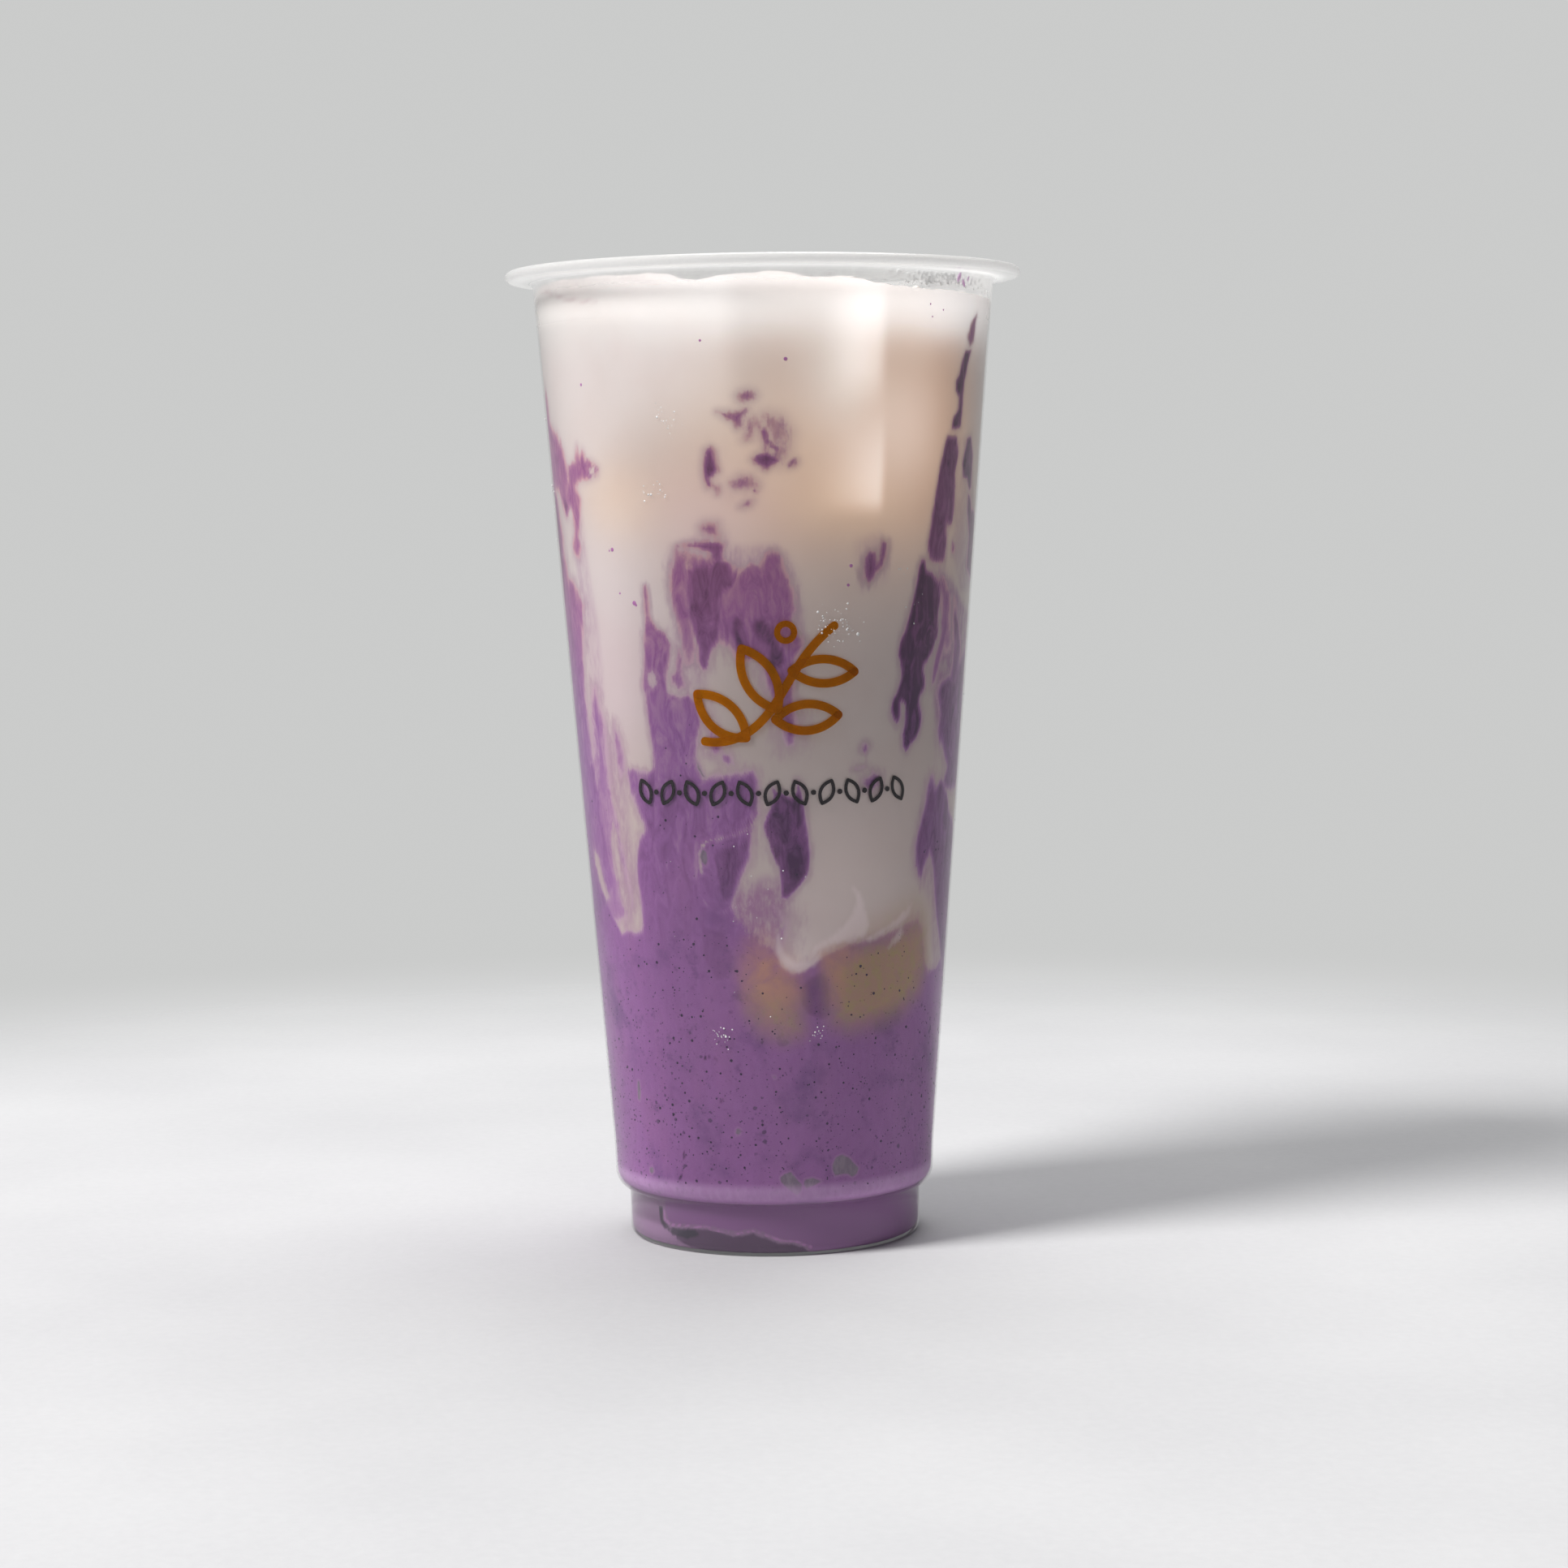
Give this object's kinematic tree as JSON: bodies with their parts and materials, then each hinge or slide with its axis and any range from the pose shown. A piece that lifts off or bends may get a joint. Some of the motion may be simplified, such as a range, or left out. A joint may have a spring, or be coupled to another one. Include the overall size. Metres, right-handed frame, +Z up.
{
  "type": "taro bubble tea",
  "caption": "Tall clear tapered plastic cup of iced taro bubble tea: a purple taro layer climbs the wall under pale milk, with ice at the open top.",
  "frame": {"origin": "centre of the foot, on the surface the cup stands on", "axes": "+Z up along the cup's axis, towards its open top; -Y is the front, the side that the picture shows; +X is to the right of it"},
  "size_m": [0.095, 0.095, 0.179],
  "materials": {
    "clear_plastic": "clear, very slightly milky, glossy",
    "taro_purple": "thick wet paste, purple, with fine dark grains",
    "milk_white": "wet, creamy white to pale tea brown",
    "ice": "clear wet ice with a cloudy core"
  },
  "bodies": {
    "root": {"cup": "clear_plastic", "taro_layer": "taro_purple", "milk_layer": "milk_white", "ice_1": "ice", "ice_2": "ice", "ice_3": "ice", "ice_4": "ice"}
  },
  "joints": []
}
